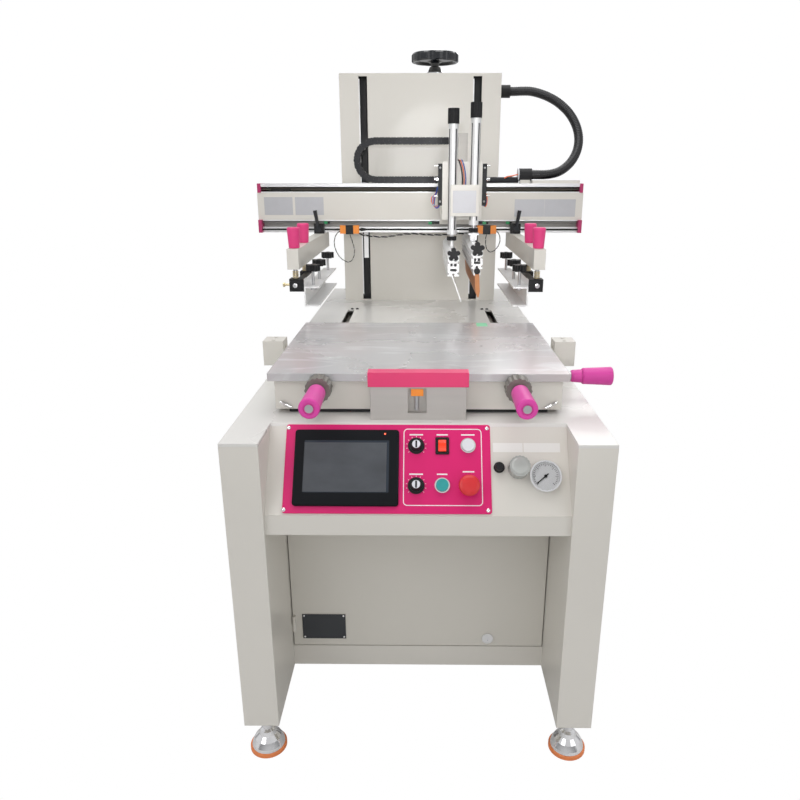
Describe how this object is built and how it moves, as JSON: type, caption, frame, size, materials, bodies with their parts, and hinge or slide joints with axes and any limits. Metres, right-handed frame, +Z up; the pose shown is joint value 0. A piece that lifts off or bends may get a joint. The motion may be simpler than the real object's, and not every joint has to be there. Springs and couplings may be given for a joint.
{
  "type": "flatbed screen printer",
  "caption": "Free-standing flatbed screen printer with a running table, a lifting head on a column, a stroking squeegee carriage, sliding frame arms and a sloped control panel.",
  "frame": {"origin": "on the floor, midway between the two sides and midway between the leg fronts and the rear wall", "axes": "+X to the operator's right, +Y from the control panel towards the column, +Z up"},
  "size_m": [1.15, 1.76, 1.5964],
  "materials": {
    "cream_paint": "semi-gloss powder coat",
    "pink_paint": "semi-gloss",
    "pink_plastic": "satin",
    "stainless": "brushed",
    "steel": "machined",
    "chrome_steel": "polished",
    "anodised": "satin anodised",
    "black_plastic": "matt",
    "black_gloss": "gloss",
    "green_plastic": "gloss",
    "white_plastic": "gloss",
    "red_plastic": "gloss",
    "orange_plastic": "satin",
    "brass_metal": "machined",
    "blade_rubber": "matt",
    "cable_rubber": "matt"
  },
  "bodies": {
    "frame_base": {"cabinet": "cream_paint", "deck_plate": "cream_paint", "levelling_feet": "chrome_steel", "column": "cream_paint", "linear_guides": "steel", "electrics_tray": "steel", "panel_plate": "pink_paint", "touch_screen": "black_plastic", "button_bezels": "chrome_steel", "front_stop": "steel"},
    "height_wheel": {"handwheel": "chrome_steel"},
    "wheel_nut": {"height_nut": "brass_metal"},
    "cabinet_door": {"door": "cream_paint"},
    "cam_lock": {"door_lock": "chrome_steel"},
    "stop_push": {"stop_button": "red_plastic"},
    "green_push": {"green_button": "green_plastic"},
    "white_push": {"white_button": "white_plastic"},
    "mains_rocker": {"rocker_switch": "red_plastic"},
    "upper_dial": {"speed_knob_upper": "black_plastic"},
    "lower_dial": {"speed_knob_lower": "black_plastic"},
    "regulator": {"regulator_knob": "anodised"},
    "valve": {"valve_knob": "black_plastic"},
    "needle": {"gauge_needle": "black_plastic"},
    "table_run": {"table_base": "cream_paint"},
    "cross_slide": {"table_cross_plate": "steel"},
    "table": {"table_top": "stainless"},
    "left_spindle": {"front_grip_left": "pink_plastic"},
    "right_spindle": {"front_grip_right": "pink_plastic"},
    "side_spindle": {"side_grip": "pink_plastic"},
    "head": {"beam_profiles": "anodised", "beam_body": "cream_paint", "beam_end_caps": "pink_paint", "stroke_sensors": "orange_plastic", "chain_lower": "black_plastic", "loom_hose": "cable_rubber", "sensor_lead_left": "cable_rubber", "sensor_lead_right": "cable_rubber"},
    "pulley": {"drive_pulley": "steel"},
    "carriage": {"carriage_body": "cream_paint", "press_cylinders": "anodised", "chain_upper": "black_plastic"},
    "chain_turn": {"chain_bend": "black_plastic"},
    "flood_press": {"flood_bar": "anodised"},
    "squeegee_press": {"squeegee_lift": "steel"},
    "squeegee": {"squeegee_bar": "anodised", "squeegee_rubber": "blade_rubber"},
    "flood_knob": {"flood_stroke_knob": "black_plastic"},
    "squeegee_knob": {"squeegee_stroke_knob": "black_plastic"},
    "left_arm": {"arm_left": "cream_paint"},
    "right_arm": {"arm_right": "cream_paint"},
    "left_lever": {"clamp_lever_left": "black_gloss"},
    "right_lever": {"clamp_lever_right": "black_gloss"},
    "left_holder": {"frame_holder_left": "anodised"},
    "right_holder": {"frame_holder_right": "anodised"},
    "left_front_knob": {"height_knob_left_front": "pink_plastic"},
    "left_rear_knob": {"height_knob_left_rear": "pink_plastic"},
    "right_front_knob": {"height_knob_right_front": "pink_plastic"},
    "right_rear_knob": {"height_knob_right_rear": "pink_plastic"},
    "left_screws": {"clamp_screws_left": "black_plastic"},
    "right_screws": {"clamp_screws_right": "black_plastic"}
  },
  "joints": [
    {"name": "wheel_turn", "type": "hinge", "parent": "frame_base", "child": "height_wheel", "pos_m": [0.053, 0.7, 1.574], "axis": [0, 0, 1], "range_deg": [-1080, 1080]},
    {"name": "nut_travel", "type": "slide", "parent": "frame_base", "child": "wheel_nut", "axis": [0, 0, 1], "range_m": [-0.0151, 0.0151]},
    {"name": "door_swing", "type": "hinge", "parent": "frame_base", "child": "cabinet_door", "pos_m": [-0.283, -0.693, 0.339], "axis": [0, 0, -1], "range_deg": [0, 88]},
    {"name": "lock_turn", "type": "hinge", "parent": "cabinet_door", "child": "cam_lock", "pos_m": [0.16, -0.689, 0.169], "axis": [0, -1, 0], "range_deg": [0, 90]},
    {"name": "stop_press", "type": "slide", "parent": "frame_base", "child": "stop_push", "axis": [0, -0.8218, 0.5698], "range_m": [-0.004, 0], "stiffness_N_per_m": 900},
    {"name": "green_press", "type": "slide", "parent": "frame_base", "child": "green_push", "axis": [0, -0.8218, 0.5698], "range_m": [-0.003, 0], "stiffness_N_per_m": 500},
    {"name": "white_press", "type": "slide", "parent": "frame_base", "child": "white_push", "axis": [0, -0.8218, 0.5698], "range_m": [-0.003, 0], "stiffness_N_per_m": 500},
    {"name": "rocker_tilt", "type": "hinge", "parent": "frame_base", "child": "mains_rocker", "pos_m": [0.0465, -0.79626, 0.68762], "axis": [1, 0, 0], "range_deg": [0, 12]},
    {"name": "upper_dial_turn", "type": "hinge", "parent": "frame_base", "child": "upper_dial", "pos_m": [-0.0034, -0.79421, 0.6862], "axis": [0, -0.8218, 0.5698], "range_deg": [-135, 135]},
    {"name": "lower_dial_turn", "type": "hinge", "parent": "frame_base", "child": "lower_dial", "pos_m": [-0.0034, -0.83808, 0.62292], "axis": [0, -0.8218, 0.5698], "range_deg": [-135, 135]},
    {"name": "regulator_turn", "type": "hinge", "parent": "frame_base", "child": "regulator", "pos_m": [0.1905, -0.81928, 0.65004], "axis": [0, -0.8218, 0.5698], "range_deg": [-720, 720]},
    {"name": "valve_turn", "type": "hinge", "parent": "frame_base", "child": "valve", "pos_m": [0.1545, -0.81786, 0.65209], "axis": [0, -0.8218, 0.5698], "range_deg": [0, 90]},
    {"name": "needle_swing", "type": "hinge", "parent": "frame_base", "child": "needle", "pos_m": [0.2405, -0.82811, 0.6373], "axis": [0, -0.8218, 0.5698], "range_deg": [-270, 0]},
    {"name": "table_travel", "type": "slide", "parent": "frame_base", "child": "table_run", "axis": [0, 1, 0], "range_m": [0, 0.64]},
    {"name": "cross_travel", "type": "slide", "parent": "table_run", "child": "cross_slide", "axis": [0, 1, 0], "range_m": [-0.005, 0.005]},
    {"name": "table_shift", "type": "slide", "parent": "cross_slide", "child": "table", "axis": [1, 0, 0], "range_m": [-0.005, 0.005]},
    {"name": "left_spindle_turn", "type": "hinge", "parent": "table_run", "child": "left_spindle", "pos_m": [-0.195, -0.82, 0.786], "axis": [0, 1, 0], "range_deg": [-901, 901]},
    {"name": "right_spindle_turn", "type": "hinge", "parent": "table_run", "child": "right_spindle", "pos_m": [0.195, -0.82, 0.786], "axis": [0, 1, 0], "range_deg": [-901, 901]},
    {"name": "side_spindle_turn", "type": "hinge", "parent": "cross_slide", "child": "side_spindle", "pos_m": [0.37, -0.622, 0.778], "axis": [1, 0, 0], "range_deg": [-901, 901]},
    {"name": "head_lift", "type": "slide", "parent": "frame_base", "child": "head", "axis": [0, 0, 1], "range_m": [-0.015, 0.11], "deforming": ["loom_hose"]},
    {"name": "pulley_turn", "type": "hinge", "parent": "head", "child": "pulley", "pos_m": [0.5, 0.507, 1.134], "axis": [0, 0, 1], "range_deg": [-580, 80]},
    {"name": "carriage_stroke", "type": "slide", "parent": "head", "child": "carriage", "axis": [1, 0, 0], "range_m": [-0.31, 0.04], "deforming": ["chain_upper", "chain_lower"]},
    {"name": "chain_travel", "type": "slide", "parent": "head", "child": "chain_turn", "axis": [1, 0, 0], "range_m": [-0.1552, 0.0202]},
    {"name": "flood_stroke", "type": "slide", "parent": "carriage", "child": "flood_press", "axis": [0, 0, 1], "range_m": [-0.01, 0]},
    {"name": "squeegee_stroke", "type": "slide", "parent": "carriage", "child": "squeegee_press", "axis": [0, 0, 1], "range_m": [-0.022, 0]},
    {"name": "squeegee_tilt", "type": "hinge", "parent": "squeegee_press", "child": "squeegee", "pos_m": [0.165, 0.142, 0.997], "axis": [0, 1, 0], "range_deg": [-10, 10]},
    {"name": "flood_knob_turn", "type": "hinge", "parent": "carriage", "child": "flood_knob", "pos_m": [0.099, 0.142, 1.344], "axis": [0, 0, 1], "range_deg": [-360, 360]},
    {"name": "squeegee_knob_turn", "type": "hinge", "parent": "carriage", "child": "squeegee_knob", "pos_m": [0.165, 0.142, 1.36], "axis": [0, 0, 1], "range_deg": [-360, 360]},
    {"name": "left_arm_travel", "type": "slide", "parent": "head", "child": "left_arm", "axis": [1, 0, 0], "range_m": [-0.12, 0]},
    {"name": "right_arm_travel", "type": "slide", "parent": "head", "child": "right_arm", "axis": [1, 0, 0], "range_m": [0, 0.12]},
    {"name": "left_lever_swing", "type": "hinge", "parent": "left_arm", "child": "left_lever", "pos_m": [-0.348, 0.399, 1.005], "axis": [0, -1, 0], "range_deg": [0, 75]},
    {"name": "right_lever_swing", "type": "hinge", "parent": "right_arm", "child": "right_lever", "pos_m": [0.33, 0.399, 1.005], "axis": [0, 1, 0], "range_deg": [0, 75]},
    {"name": "left_holder_height", "type": "slide", "parent": "left_arm", "child": "left_holder", "axis": [0, 0, 1], "range_m": [-0.0035, 0.0035]},
    {"name": "left_front_knob_turn", "type": "hinge", "parent": "left_arm", "child": "left_front_knob", "pos_m": [-0.348, -0.08, 1.014], "axis": [0, 0, 1], "range_deg": [-721, 721]},
    {"name": "left_rear_knob_turn", "type": "hinge", "parent": "left_arm", "child": "left_rear_knob", "pos_m": [-0.348, 0.08, 1.014], "axis": [0, 0, 1], "range_deg": [-721, 721]},
    {"name": "left_screw_travel", "type": "slide", "parent": "left_holder", "child": "left_screws", "axis": [0, 0, 1], "range_m": [-0.034, 0.002]},
    {"name": "right_holder_height", "type": "slide", "parent": "right_arm", "child": "right_holder", "axis": [0, 0, 1], "range_m": [-0.0035, 0.0035]},
    {"name": "right_front_knob_turn", "type": "hinge", "parent": "right_arm", "child": "right_front_knob", "pos_m": [0.33, -0.08, 1.014], "axis": [0, 0, 1], "range_deg": [-721, 721]},
    {"name": "right_rear_knob_turn", "type": "hinge", "parent": "right_arm", "child": "right_rear_knob", "pos_m": [0.33, 0.08, 1.014], "axis": [0, 0, 1], "range_deg": [-721, 721]},
    {"name": "right_screw_travel", "type": "slide", "parent": "right_holder", "child": "right_screws", "axis": [0, 0, 1], "range_m": [-0.034, 0.002]}
  ],
  "couplings": [
    {"joint": "nut_travel", "follows": "wheel_turn", "m_per_rad": -0.00079577},
    {"joint": "left_spindle_turn", "follows": "cross_travel", "rad_per_m": -3141.6},
    {"joint": "right_spindle_turn", "follows": "cross_travel", "rad_per_m": -3141.6},
    {"joint": "side_spindle_turn", "follows": "table_shift", "rad_per_m": -3141.6},
    {"joint": "pulley_turn", "follows": "carriage_stroke", "rad_per_m": 31.847},
    {"joint": "chain_travel", "follows": "carriage_stroke", "ratio": 0.5},
    {"joint": "left_front_knob_turn", "follows": "left_holder_height", "rad_per_m": -3590.4},
    {"joint": "left_rear_knob_turn", "follows": "left_holder_height", "rad_per_m": -3590.4},
    {"joint": "right_front_knob_turn", "follows": "right_holder_height", "rad_per_m": -3590.4},
    {"joint": "right_rear_knob_turn", "follows": "right_holder_height", "rad_per_m": -3590.4}
  ]
}
